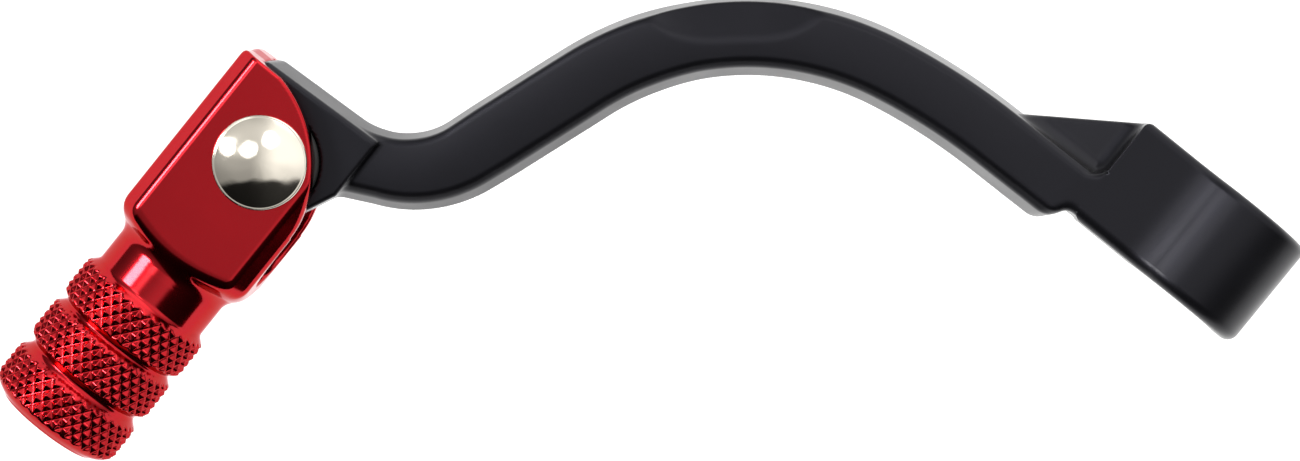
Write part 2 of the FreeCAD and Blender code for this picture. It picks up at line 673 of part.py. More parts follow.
def retaining_ring():
    top = -BRACKET_HALF_HEIGHT - PIN_WASHER_THICKNESS - RETAINING_RING_PLAY
    low = top - RETAINING_RING_THICKNESS
    inner_radius = RING_GROOVE_RADIUS + RETAINING_RING_PLAY
    ring = pivot_ring(RETAINING_RING_RADIUS, inner_radius, low, top)
    gap = Part.makeBox(RETAINING_RING_RADIUS + 1, RETAINING_RING_GAP, RETAINING_RING_THICKNESS + 2)
    gap.translate(PIVOT + Vector(0, -RETAINING_RING_GAP / 2, low - 1))
    return ring.cut(gap)


# --- pinch bolt ----------------------------------------------------------------------------------


def pinch_bolt():
    seat = EAR_REAR - BOLT_WASHER_THICKNESS
    head = bolt_cylinder(BOLT_HEAD_RADIUS, seat - BOLT_HEAD_HEIGHT, seat)
    rim = [edge for edge in head.Edges if abs(edge.BoundBox.XMax - (seat - BOLT_HEAD_HEIGHT)) < 1e-6]
    head = head.makeChamfer(BOLT_HEAD_CHAMFER, rim)
    shank = bolt_cylinder(BOLT_RADIUS, seat, seat + BOLT_LENGTH)
    circle_radius = BOLT_SOCKET_FLATS / math.sqrt(3)
    corners = [polar(circle_radius, 60 * corner) for corner in range(6)]
    socket = level_prism(polygon(corners), 0, BOLT_SOCKET_DEPTH)
    socket.rotate(Vector(0, 0, 0), Y_AXIS, 90)
    socket.translate(Vector(seat - BOLT_HEAD_HEIGHT, 0, BOLT_HEIGHT))
    return head.fuse(shank).cut(socket).removeSplitter()


def pinch_bolt_washer():
    seat = EAR_REAR - BOLT_WASHER_THICKNESS
    disc = bolt_cylinder(BOLT_WASHER_RADIUS, seat, EAR_REAR)
    return disc.cut(bolt_cylinder(BOLT_RADIUS + BOLT_HOLE_CLEARANCE, seat - 1, EAR_REAR + 1))


def main():
    nodes = {
        "lever_arm": lever_arm(),
        "toe_peg": toe_peg(),
        "pivot_pin": pivot_pin(),
        "pivot_bush": pivot_bush(),
        "return_spring": return_spring(),
        "upper_dust_seal": dust_seal(1),
        "lower_dust_seal": dust_seal(-1),
        "pin_washer": pin_washer(),
        "retaining_ring": retaining_ring(),
        "pinch_bolt": pinch_bolt(),
        "pinch_bolt_washer": pinch_bolt_washer(),
    }
    os.makedirs("parts", exist_ok=True)
    for name, shape in nodes.items():
        shape.exportStep(f"parts/{name}.step")
        box = shape.BoundBox
        print(
            f"{name}: solids {len(shape.Solids)} valid {shape.isValid()} volume {shape.Volume:.1f} "
            f"x {box.XMin:.2f}..{box.XMax:.2f} y {box.YMin:.2f}..{box.YMax:.2f} "
            f"z {box.ZMin:.2f}..{box.ZMax:.2f}"
        )


main()
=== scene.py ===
"""Looks of the gear shift lever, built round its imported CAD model. Shapes are worked out in millimetres."""

import json
import math

import bpy
import numpy as np
from mathutils import Matrix, Vector


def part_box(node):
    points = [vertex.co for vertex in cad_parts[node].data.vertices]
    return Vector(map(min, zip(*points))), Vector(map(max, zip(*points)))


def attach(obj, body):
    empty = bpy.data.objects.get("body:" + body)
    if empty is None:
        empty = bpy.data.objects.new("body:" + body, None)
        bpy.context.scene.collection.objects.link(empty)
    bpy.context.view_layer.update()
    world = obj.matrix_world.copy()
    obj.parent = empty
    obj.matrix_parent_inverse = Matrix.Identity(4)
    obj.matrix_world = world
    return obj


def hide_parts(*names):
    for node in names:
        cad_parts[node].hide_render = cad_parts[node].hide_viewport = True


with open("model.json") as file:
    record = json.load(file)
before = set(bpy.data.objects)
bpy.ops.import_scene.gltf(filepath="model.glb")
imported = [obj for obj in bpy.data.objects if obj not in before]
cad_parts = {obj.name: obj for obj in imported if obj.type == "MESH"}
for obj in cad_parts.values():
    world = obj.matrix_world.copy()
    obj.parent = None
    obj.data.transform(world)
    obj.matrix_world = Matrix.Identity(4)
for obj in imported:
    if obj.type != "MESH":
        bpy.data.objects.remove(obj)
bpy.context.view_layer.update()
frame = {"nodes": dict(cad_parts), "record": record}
MM = 0.001


def cad_box(node):
    """Lowest and highest corner of a CAD node, in millimetres."""
    low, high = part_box(node)
    return np.array(low) / MM, np.array(high) / MM


ARM_LOW, ARM_HIGH = cad_box("lever_arm")
TIP_LOW, TIP_HIGH = cad_box("toe_peg")
PIN_LOW, PIN_HIGH = cad_box("pivot_pin")
BUSH_LOW, BUSH_HIGH = cad_box("pivot_bush")
PIVOT = np.array(frame["record"]["behaviour"]["joints"][0]["pos_m"]) / MM

# Hub and deck
HUB_RADIUS = -ARM_LOW[0]
HUB_HALF_WIDTH = -ARM_LOW[1]
HUB_OUTBOARD_ROUND = 1.5
HUB_INBOARD_ROUND = 1.0
HUB_TAPER = 0.06
DECK_FRONT = 16.5
DECK_HALF_HEIGHT = 7.0
DECK_FILLET = 9.0
EAR_REAR, EAR_FRONT, EAR_BOTTOM, EAR_HALF_WIDTH = -4.3, 13.0, ARM_LOW[2], 6.7
EAR_TOP, EAR_ROUND = -5.0, 0.8
SLIT_HALF_WIDTH = 1.0
BOLT_HEIGHT, BOLT_HOLE_RADIUS, SPOT_FACE_RADIUS = -11.0, 3.06, 5.3
TOOTH_COUNT = 24
TOOTH_MEAN_RADIUS, TOOTH_HALF_DEPTH, TOOTH_STEEPNESS = 5.9, 0.25, 2.2
BORE_CHAMFER = 0.75

# Arm: centre line from the hub to the tip, where (length, None) is straight and (radius, turn) is an arc
ARM_START = (12.0, 5.75, math.radians(1.0))
ARM_ROUTE = [(18.2, None), (80.0, 11.0), (38.0, 59.0), (16.8, None), (14.2, -46.0), (5.2, None)]
ARM_HALF_WIDTHS = [
    (0, 4.8), (18, 4.75), (33, 4.78), (43, 4.85), (58, 4.87), (64, 5.0), (75, 5.08), (86, 5.08), (92, 4.95),
    (97, 4.85), (101, 4.7), (106, 4.85),
]
ARM_TOP_AT_HUB, ARM_TOP_AT_TIP, ARM_TAPER_START = 7.0, 4.2, 7
TOP_CROWN, TOP_CROWN_START, TOP_CROWN_FADE = 0.016, 9, 12
OUTER_DRAFT, OUTER_BEVEL = 1.05, 1.1
INNER_DRAFT, INNER_BEVEL_WIDTH, INNER_BEVEL_DEPTH = 0.8, 0.8, 0.6
CROWN_MIDDLE, CROWN_HALF_LENGTH, CROWN_WIDTH, CROWN_TILT = 52.8, 11.3, 5.3, math.radians(22)
ARM_END, ARM_END_FACING, ARM_END_Y, ARM_END_ROUND = (17.6, 7.8), (-0.88, 0.48), 7.2, 1.4

# Gusset web
GUSSET_HALF_HEIGHT = 4.2
GUSSET_TIP, GUSSET_REAR = (28.4, 1.2), (16.3, -7.1)
GUSSET_CORNER_Y, GUSSET_CORNER_ROUND, GUSSET_FILLET = 2.2, 2.5, 1.9
GUSSET_RISE, GUSSET_FALL = 0.14, 0.06

# Pivot in the tongue
PIN_RADIUS, PIN_EAR_HOLE = 3.5, 3.53
POCKET_RADIUS = 5.2
FLANGE_OVERHANG, FLANGE_THICKNESS = 0.6, 1.0
SEAL_RADIUS, SEAL_GROOVE_HALF_WIDTH, SEAL_GROOVE_DEPTH = 6.4, 0.6, 0.8
PIN_GROOVE_RADIUS, PIN_GROOVE_GAP, PIN_GROOVE_WIDTH = 2.9, 0.7, 0.9
DOME_HEIGHT = 1.5

# Tongue
TONGUE_HALF_HEIGHT = -BUSH_LOW[2]
TONGUE_HEEL = 7.8
TONGUE_REAR, TONGUE_OUTER = 88.6, 62.9
TONGUE_INNER_REAR, TONGUE_INNER_FRONT = 53.4, 54.2
TONGUE_DRAFT, TONGUE_CORNER = 1.1, 1.2

# Bracket and toe peg
BRACKET_FRONT, BRACKET_INNER, BRACKET_HALF_HEIGHT = TIP_HIGH[0], TIP_LOW[1], 9.0
BRACKET_REAR = TIP_LOW[0]
BRACKET_BEVEL = 2.1
LOWER_EAR_EXTRA = 0.35
SWEEP_START, SWEEP_MIDDLE, SWEEP_END_Y = (4.6, -9.7), (-4.8, -4.2), 5.4  # from the pivot
SLOT_HALF_HEIGHT = 5.6
SLOT_BACK = PIVOT[0] + TONGUE_HEEL + 0.04
SLOT_END = 78.3
SHOULDER, SHOULDER_SLOPE = 81.7, 0.52
PEG_X = (BRACKET_FRONT + BRACKET_REAR) / 2
PEG_END = TIP_HIGH[1]
NECK_RADIUS, NECK_FILLET = 7.9, 1.1
NECK_JOIN = 84.0
RING_STARTS, RING_ENDS, RING_RADIUS = [89.0, 95.6, 102.6], [93.3, 99.9, 106.6], TIP_HIGH[2]
RING_CONE, RING_CHAMFER = 1.2, 0.9
PEG_SHOULDER_LENGTH, PEG_SHOULDER_RADIUS, PEG_END_RADIUS = 1.1, 8.2, 6.6
KNURL_STARTS, KNURL_PITCH, KNURL_DEPTH, KNURL_COLUMNS = 34, 1.95, 0.55, 14
KNURL_CREST, KNURL_ROOT = 0.06, 0.95  # shares of the depth where its crests and roots are flat
OVERLAP_INSET = 0.015  # so that the bracket and the peg don't share a surface where they overlap

ARM_CELL, BRACKET_CELL, QUICK_COARSENESS = 0.325, 0.2, 1.6


# --- distance functions: negative inside, points given as an (n, 3) array -------------------------


def smooth_max(a, b, size):
    """The larger of two distances, with a blend of about that size where they meet."""
    blend = np.maximum(size - np.abs(a - b), 0) / size
    return np.maximum(a, b) + blend * blend * size * 0.25


def smooth_min(a, b, size):
    return -smooth_max(-a, -b, size)


def round_max(a, b, radius):
    """Intersection of two surfaces at right angles, its edge rounded to a radius."""
    corner = np.hypot(np.maximum(a + radius, 0), np.maximum(b + radius, 0))
    return np.minimum(np.maximum(a, b), -radius) + corner


def round_min(a, b, radius):
    """Union of two surfaces at right angles, with a fillet of that radius."""
    return -round_max(-a, -b, radius)


def slope(across, up, start, end):
    """Distance from the line through two (across, up) points, positive to the right on the way to the end."""
    run, rise = end[0] - start[0], end[1] - start[1]
    length = np.hypot(run, rise)
    return ((across - start[0]) * rise - (up - start[1]) * run) / length


def along_arm(x, y):
    """Distance along the arm's centre line and offset to its left, for points seen from above."""
    place_x, place_y, heading = ARM_START
    nearest = np.full(x.shape, 1e9)
    distance, offset = np.zeros(x.shape), np.zeros(x.shape)
    start = 0.0
    for index, (size, turn) in enumerate(ARM_ROUTE):
        forward = (math.cos(heading), math.sin(heading))
        if turn is None:
            length = size
            dx, dy = x - place_x, y - place_y
            along = dx * forward[0] + dy * forward[1]
            across = dy * forward[0] - dx * forward[1]
            first, last = index == 0, index == len(ARM_ROUTE) - 1
            held = np.clip(along, -1e3 if first else 0, 1e3 if last else size)
            place_x, place_y = place_x + forward[0] * size, place_y + forward[1] * size
        else:
            side = math.copysign(1, turn)
            length = size * math.radians(abs(turn))
            centre_x, centre_y = place_x - side * forward[1] * size, place_y + side * forward[0] * size
            dx, dy = x - centre_x, y - centre_y
            from_x, from_y = place_x - centre_x, place_y - centre_y
            angle = np.arctan2(from_x * dy - from_y * dx, from_x * dx + from_y * dy) * side
            along = angle * size
            across = side * (size - np.hypot(dx, dy))
            held = np.clip(along, 0, length)
            heading += math.radians(turn)
            place_x, place_y = centre_x + side * math.sin(heading) * size, centre_y - side * math.cos(heading) * size
        gap = np.hypot(along - held, across)
        closer = gap < nearest
        nearest = np.where(closer, gap, nearest)
        distance = np.where(closer, start + along, distance)
        offset = np.where(closer, across, offset)
        start += length
    return distance, offset


def route_length():
    return sum(size if turn is None else size * math.radians(abs(turn)) for size, turn in ARM_ROUTE)


def arm_bar(x, y, z):
    """The forged bar: drafted sides, bevelled edges and the wide facet on the inside of the big bend."""
    distance, offset = along_arm(x, y)
    share = np.clip((distance - ARM_TAPER_START) / (route_length() - ARM_TAPER_START), 0, 1)
    top = ARM_TOP_AT_HUB + (ARM_TOP_AT_TIP - ARM_TOP_AT_HUB) * share
    width = np.interp(distance, *zip(*ARM_HALF_WIDTHS))
    level = np.abs(z)
    outer, inner = width - OUTER_DRAFT, width - INNER_DRAFT
    side_out = slope(offset, level, (width, 0), (outer, top - OUTER_BEVEL))
    bevel_out = slope(offset, level, (outer, top - OUTER_BEVEL), (outer - OUTER_BEVEL, top))
    side_in = slope(-offset, level, (width, 0), (inner, top - INNER_BEVEL_DEPTH))
    bevel_in = slope(-offset, level, (inner, top - INNER_BEVEL_DEPTH), (inner - INNER_BEVEL_WIDTH, top))
    rounded = TOP_CROWN * offset ** 2 * np.clip((distance - TOP_CROWN_START) / TOP_CROWN_FADE, 0, 1)
    body = smooth_max(level - top + rounded, bevel_out, 0.3)
    body = smooth_max(body, bevel_in, 0.25)
    place = np.minimum(np.abs(distance - CROWN_MIDDLE) / CROWN_HALF_LENGTH, 1.2)
    crown = CROWN_WIDTH * (1 - place ** 3)
    facet = (-offset - width + crown) * math.sin(CROWN_TILT) + (level - top) * math.cos(CROWN_TILT)
    body = smooth_max(body, facet, 0.3)
    return smooth_max(body, smooth_max(side_out, side_in, 0.1), 0.25)


def hub_and_deck(x, y, z):
    """The round hub, the block in front of it that the arm starts from, and the clamping ears below."""
    level = np.abs(z)
    ring = np.hypot(x, z) - HUB_RADIUS
    deck = np.maximum(np.maximum(x - DECK_FRONT, -x), level - DECK_HALF_HEIGHT)
    centre_z = DECK_HALF_HEIGHT + DECK_FILLET
    centre_x = math.sqrt((HUB_RADIUS + DECK_FILLET) ** 2 - centre_z ** 2)
    hubward = (level * centre_x - x * centre_z) / math.hypot(centre_x, centre_z)
    fillet = np.maximum(np.maximum(x - centre_x, hubward), DECK_FILLET - np.hypot(x - centre_x, level - centre_z))
    outline = np.minimum(np.minimum(ring, deck), fillet)
    rounding = np.where(y > 0, HUB_OUTBOARD_ROUND, HUB_INBOARD_ROUND)
    side = np.abs(y) - HUB_HALF_WIDTH + HUB_TAPER * np.maximum(-z, 0)
    body = round_max(outline, side, rounding)
    ears = np.maximum(np.maximum(EAR_REAR - x, x - EAR_FRONT), np.maximum(EAR_BOTTOM - z, z - EAR_TOP))
    ears = round_max(ears, np.abs(y) - EAR_HALF_WIDTH, EAR_ROUND)
    return smooth_min(body, ears, 0.6)


def with_gusset(body, x, y, z):
    """A thin web between the arm and the deck, with a slightly sloped floor and fillets up to both."""
    edge = np.maximum(slope(x, y, GUSSET_REAR, GUSSET_TIP), 0.4 - HUB_HALF_WIDTH - y)
    height = GUSSET_HALF_HEIGHT + GUSSET_RISE * (y - GUSSET_TIP[1]) - GUSSET_FALL * (x - DECK_FRONT)
    floor = round_min(body, np.abs(z) - height, GUSSET_FILLET)
    web = round_max(floor, edge, 0.5)
    return np.minimum(body, np.maximum(web, np.maximum(y - 4, np.maximum(DECK_FRONT - 2 - x, x - 34))))


def corner_fill(x, y, z):
    """Concave corner between the deck's front and the arm's inner side, at full height."""
    size = GUSSET_CORNER_ROUND
    away = size - np.hypot(np.minimum(x - DECK_FRONT - size, 0), np.maximum(y - GUSSET_CORNER_Y + size, 0))
    plan = np.maximum(np.maximum(x - DECK_FRONT - size, GUSSET_CORNER_Y - size - y), away)
    plan = np.maximum(plan, np.maximum(y - 4, DECK_FRONT - 2 - x))
    return smooth_max(plan, np.abs(z) - DECK_HALF_HEIGHT, 0.9)


def tongue(x, y, z):
    """The end of the arm that sits in the bracket's slot, round about the pivot at its heel."""
    dx, dy = x - PIVOT[0], y - PIVOT[1]
    rear = (TONGUE_REAR - PIVOT[0], TONGUE_OUTER - PIVOT[1])
    turn = math.atan2(rear[1], rear[0]) % (2 * math.pi) - math.acos(TONGUE_HEEL / math.hypot(*rear))
    heading = np.arctan2(dy, dx)
    sides = np.maximum(dx, dx * math.cos(turn) + dy * math.sin(turn)) - TONGUE_HEEL
    heel = np.where((heading > 0) & (heading < turn), np.hypot(dx, dy) - TONGUE_HEEL, sides)
    level = np.abs(z)
    front = PIVOT[0] + TONGUE_HEEL
    share = (x - TONGUE_REAR) / (front - TONGUE_REAR)
    inside = TONGUE_INNER_REAR + (TONGUE_INNER_FRONT - TONGUE_INNER_REAR) * share - y
    inner = slope(inside, level, (0, 0), (-TONGUE_DRAFT, TONGUE_HALF_HEIGHT))
    corner = (x - front + TONGUE_INNER_FRONT + TONGUE_CORNER - y) * math.sqrt(0.5)
    plan = smooth_max(smooth_max(np.maximum(heel, TONGUE_REAR - x), corner, 0.5), inner, 0.5)
    return round_max(plan, level - TONGUE_HALF_HEIGHT, 0.6)


def pivot_bores(x, y, z):
    """Room for the bush, the spring and the dust seals, as one shape to cut."""
    reach = np.hypot(x - PIVOT[0], y - PIVOT[1])
    bore = reach - (BUSH_HIGH[0] - BUSH_LOW[0]) / 2 + FLANGE_OVERHANG
    pocket = np.maximum(reach - POCKET_RADIUS, BUSH_HIGH[2] - z)
    flange = np.maximum(reach - POCKET_RADIUS, z - BUSH_LOW[2] - FLANGE_THICKNESS)
    groove = np.abs(reach - SEAL_RADIUS) - SEAL_GROOVE_HALF_WIDTH
    groove = np.maximum(groove, TONGUE_HALF_HEIGHT - SEAL_GROOVE_DEPTH - np.abs(z))
    return np.minimum(np.minimum(bore, pocket), np.minimum(flange, groove))


def lever_arm(points):
    """The whole forged lever, with its splined bore, slit, bolt hole and pivot cut out."""
    x, y, z = points.T
    bar = arm_bar(x, y, z)
    end = (x - ARM_END[0]) * ARM_END_FACING[0] + (y - ARM_END[1]) * ARM_END_FACING[1]
    bar = smooth_max(bar, smooth_min(end, y - ARM_END_Y, 0.8), ARM_END_ROUND)
    bar = np.maximum(bar, np.maximum(8.0 - x, x - TONGUE_REAR - 3))
    body = np.minimum(hub_and_deck(x, y, z), bar)
    body = with_gusset(np.minimum(body, corner_fill(x, y, z)), x, y, z)
    body = smooth_min(body, tongue(x, y, z), 0.6)
    reach, turn = np.hypot(x, z), np.arctan2(z, x)
    teeth = TOOTH_MEAN_RADIUS - TOOTH_HALF_DEPTH * np.clip(TOOTH_STEEPNESS * np.cos(TOOTH_COUNT * turn), -1, 1)
    body = np.maximum(body, teeth - reach)
    body = np.maximum(body, (TOOTH_MEAN_RADIUS + BORE_CHAMFER - HUB_HALF_WIDTH + np.abs(y) - reach) * 0.7)
    slit = np.maximum(np.abs(x) - SLIT_HALF_WIDTH, z)
    hole = np.hypot(y, z - BOLT_HEIGHT) - BOLT_HOLE_RADIUS
    spot = np.maximum(np.hypot(y, z - BOLT_HEIGHT) - SPOT_FACE_RADIUS, x - EAR_REAR)
    hole = np.maximum(hole, np.maximum(EAR_REAR - 9 - x, x - EAR_FRONT - 3))
    for cut in (slit, hole, spot, pivot_bores(x, y, z)):
        body = smooth_max(body, -cut, 0.2)
    return body


def swept_end(x, y):
    """The round inner end of the ears, an arc through three points; far away from it, nothing."""
    start, middle, end = SWEEP_START, SWEEP_MIDDLE, (BRACKET_REAR - PIVOT[0], SWEEP_END_Y)
    rows = [[2 * (p[0] - start[0]), 2 * (p[1] - start[1])] for p in (middle, end)]
    sums = [p[0] ** 2 + p[1] ** 2 - start[0] ** 2 - start[1] ** 2 for p in (middle, end)]
    centre = np.linalg.solve(np.array(rows), np.array(sums))
    radius = math.hypot(start[0] - centre[0], start[1] - centre[1])
    dx, dy = x - PIVOT[0] - centre[0], y - PIVOT[1] - centre[1]
    turn = np.arctan2(dy, dx) % (2 * math.pi)
    low = math.atan2(end[1] - centre[1], end[0] - centre[0]) % (2 * math.pi)
    high = math.atan2(start[1] - centre[1], start[0] - centre[0]) % (2 * math.pi)
    return np.where((turn > low) & (turn < high), np.hypot(dx, dy) - radius, -50.0)


def bracket(points):
    """The square part of the folding tip, down to the neck where the peg starts."""
    x, y, z = points.T
    level = np.abs(z) - BRACKET_HALF_HEIGHT
    side = np.abs(x - PEG_X) - (BRACKET_FRONT - BRACKET_REAR) / 2
    bevel = (side + level + BRACKET_BEVEL) * math.sqrt(0.5)
    body = smooth_max(np.maximum(side, level), bevel, 0.45)
    inner = BRACKET_INNER - LOWER_EAR_EXTRA * np.clip(0.5 - z / 4, 0, 1)
    body = smooth_max(body, np.maximum(round_max(inner - y, x - BRACKET_FRONT, 0.9), swept_end(x, y)), 0.4)
    reach = np.hypot(x - PEG_X, z)
    sunk = OVERLAP_INSET * np.clip(y - NECK_JOIN, 0, 1)
    shoulder = (y - SHOULDER + SHOULDER_SLOPE * (reach - NECK_RADIUS - NECK_FILLET)) / math.hypot(1, SHOULDER_SLOPE)
    body = smooth_max(body, round_min(shoulder, reach - NECK_RADIUS + sunk, NECK_FILLET), 1.5)
    body = np.maximum(body, y - NECK_JOIN - 1.5)
    past_end = np.maximum(y - SLOT_END + SLOT_HALF_HEIGHT, 0)
    slot = smooth_max(np.hypot(z, past_end) - SLOT_HALF_HEIGHT, x - SLOT_BACK, 0.6)
    body = smooth_max(body, -slot, 0.35)
    return np.maximum(body, PIN_EAR_HOLE - np.hypot(x - PIVOT[0], y - PIVOT[1]))


# --- meshes --------------------------------------------------------------------------------------


def finish_piece(name, points, loops, sides, body, slot, stands_for=None, normals=None):
    """A mesh object from points in millimetres, placed on its CAD body."""
    mesh = bpy.data.meshes.new(name)
    mesh.vertices.add(len(points))
    mesh.vertices.foreach_set("co", (np.asarray(points) * MM).astype(np.float32).ravel())
    mesh.loops.add(len(loops))
    mesh.loops.foreach_set("vertex_index", np.asarray(loops, np.int32))
    mesh.polygons.add(len(sides))
    starts = np.concatenate([[0], np.cumsum(sides)[:-1]]).astype(np.int32)
    mesh.polygons.foreach_set("loop_start", starts)
    mesh.update(calc_edges=True)
    mesh.validate()
    mesh.shade_smooth()
    if normals is not None:
        mesh.normals_split_custom_set_from_vertices(normals.tolist())
    piece = bpy.data.objects.new(name, mesh)
    bpy.context.scene.collection.objects.link(piece)
    mesh.materials.append(materials[slot])
    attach(piece, body)
    if stands_for:
        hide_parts(stands_for)
    return piece


def gradient(distance, points, step=0.01):
    """Unit vectors that point straight out of a shape."""
    parts = []
    for axis in range(3):
        shift = np.zeros(3)
        shift[axis] = step
        parts.append(distance(points + shift) - distance(points - shift))
    way = np.stack(parts, 1)
    return way / np.maximum(np.linalg.norm(way, axis=1, keepdims=True), 1e-12)


def grid_corners(count):
    """Whole-number points of a cube with that many along each side."""
    axis = np.arange(count)
    return np.stack(np.meshgrid(axis, axis, axis, indexing="ij"), -1).reshape(-1, 3)


def skin(distance, low, high, cell):
    """Surface nets: a quad mesh of where the distance is nought, and the surface's own normals."""
    block = 8
    low = np.asarray(low, float) - 2 * cell
    counts = np.ceil((np.asarray(high) + 2 * cell - low) / (cell * block)).astype(int)
    axes = [np.arange(count) for count in counts]
    blocks = np.stack(np.meshgrid(*axes, indexing="ij"), -1).reshape(-1, 3)
    size = cell * block
    blocks = blocks[np.abs(distance(low + (blocks + 0.5) * size)) < size * 1.05]
    offsets = grid_corners(block + 1)
    nodes = (blocks[:, None] * block + offsets[None]).reshape(-1, 3)
    values = distance(low + nodes * cell).reshape(-1, block + 1, block + 1, block + 1)

    corners = grid_corners(2)
    parts = [values[:, i : i + block, j : j + block, k : k + block] for i, j, k in corners]
    stack = np.stack(parts, -1)
    inside = stack < 0
    crossed = inside.any(-1) & ~inside.all(-1)
    which, ci, cj, ck = np.nonzero(crossed)
    stack = stack[crossed]
    cells = blocks[which] * block + np.stack([ci, cj, ck], 1)
    total, hits = np.zeros((len(cells), 3)), np.zeros(len(cells))
    for first in range(8):
        for second in range(first + 1, 8):
            if np.abs(corners[first] - corners[second]).sum() != 1:
                continue
            a, b = stack[:, first], stack[:, second]
            cuts = (a < 0) != (b < 0)
            share = np.where(cuts, a / np.where(cuts, a - b, 1), 0)
            spot = corners[first] + share[:, None] * (corners[second] - corners[first])
            total += spot * cuts[:, None]
            hits += cuts
    points = low + (cells + total / hits[:, None]) * cell

    span = (counts * block + 2).astype(np.int64)
    keys = (cells[:, 0] * span[1] + cells[:, 1]) * span[2] + cells[:, 2]
    order = np.argsort(keys)
    keys = keys[order]
    quads = []
    for axis in range(3):
        ahead = [slice(0, block)] * 3
        ahead[axis] = slice(1, block + 1)
        here = values[:, :block, :block, :block]
        there = values[(slice(None), *ahead)]
        cut = (here < 0) != (there < 0)
        which, i, j, k = np.nonzero(cut)
        node = blocks[which] * block + np.stack([i, j, k], 1)
        first, second = (axis + 1) % 3, (axis + 2) % 3
        ring = []
        for back_first, back_second in ((0, 0), (1, 0), (1, 1), (0, 1)):
            corner = node.copy()
            corner[:, first] -= back_first
            corner[:, second] -= back_second
            key = (corner[:, 0] * span[1] + corner[:, 1]) * span[2] + corner[:, 2]
            found = np.minimum(np.searchsorted(keys, key), len(keys) - 1)
            ring.append(np.where(keys[found] == key, order[found], -1))
        quad = np.stack(ring, 1)
        outward = here[cut] < 0
        quad = np.where(outward[:, None], quad, quad[:, ::-1])
        quads.append(quad[(quad >= 0).all(1)])
    quads = np.concatenate(quads)

    for _ in range(3):
        way = gradient(distance, points)
        step = np.clip(distance(points), -0.4 * cell, 0.4 * cell)
        points = points - way * step[:, None]
    return points, quads, gradient(distance, points)


def skinned_piece(name, distance, low, high, cell, body, slot, stands_for):
    """A piece whose mesh comes from a distance function."""
    points, quads, normals = skin(distance, low, high, cell)
    sides = np.full(len(quads), 4)
    return finish_piece(name, points, quads.ravel(), sides, body, slot, stands_for, normals)


def lathe_quads(rows, columns):
    """Quads between rings of points, each ring closed on itself."""
    row, column = np.meshgrid(np.arange(rows - 1), np.arange(columns), indexing="ij")
    beside = (column + 1) % columns
    quads = np.stack(
        [row * columns + column, row * columns + beside, (row + 1) * columns + beside, (row + 1) * columns + column],
        -1,
    )
    return quads.reshape(-1, 4)


def peg_profile(y):
    """Radius of the turned peg along its axis, before knurling."""
    marks = [(NECK_JOIN - 1, NECK_RADIUS)]
    for start, end in zip(RING_STARTS, RING_ENDS):
        marks += [(start - RING_CONE, NECK_RADIUS), (start, RING_RADIUS), (end, RING_RADIUS)]
        if end != RING_ENDS[-1]:
            marks.append((end + RING_CHAMFER, NECK_RADIUS))
    marks += [(RING_ENDS[-1] + PEG_SHOULDER_LENGTH, PEG_SHOULDER_RADIUS), (PEG_END, PEG_END_RADIUS)]
    places, radii = zip(*marks)
    window = np.linspace(-0.3, 0.3, 7)
    return np.mean([np.interp(y + shift, places, radii) for shift in window], 0)


def knurled_peg():
    """The turned peg, with a left-hand and a right-hand set of grooves cut into its rings."""
    columns = KNURL_STARTS * KNURL_COLUMNS
    pitch = KNURL_PITCH / KNURL_COLUMNS
    rows = np.append(np.arange(NECK_JOIN - 0.5, PEG_END, pitch), PEG_END)
    turns = np.arange(columns) / columns
    y, turn = np.meshgrid(rows, turns, indexing="ij")
    plain = peg_profile(y)
    plain -= OVERLAP_INSET * np.clip(NECK_JOIN + 0.5 - y, 0, 1)
    grooves = []
    for hand in (-1, 1):
        lead = turn * KNURL_STARTS + hand * y / KNURL_PITCH
        grooves.append(1 - 2 * np.abs(lead - np.round(lead)))
    cut = RING_RADIUS - KNURL_DEPTH * np.clip(np.maximum(*grooves), KNURL_CREST, KNURL_ROOT)
    radius = np.minimum(plain, np.where(y > NECK_JOIN + 2, cut, 99.0))
    angle = turn * 2 * math.pi
    points = np.stack([PEG_X + radius * np.sin(angle), y, radius * np.cos(angle)], -1).reshape(-1, 3)
    quads = lathe_quads(len(rows), columns)
    last = np.arange((len(rows) - 1) * columns, len(rows) * columns)
    loops = np.concatenate([quads.ravel(), last])
    sides = np.append(np.full(len(quads), 4), columns)
    return finish_piece("knurled_peg", points, loops, sides, "tip", "red_anodised_aluminium")


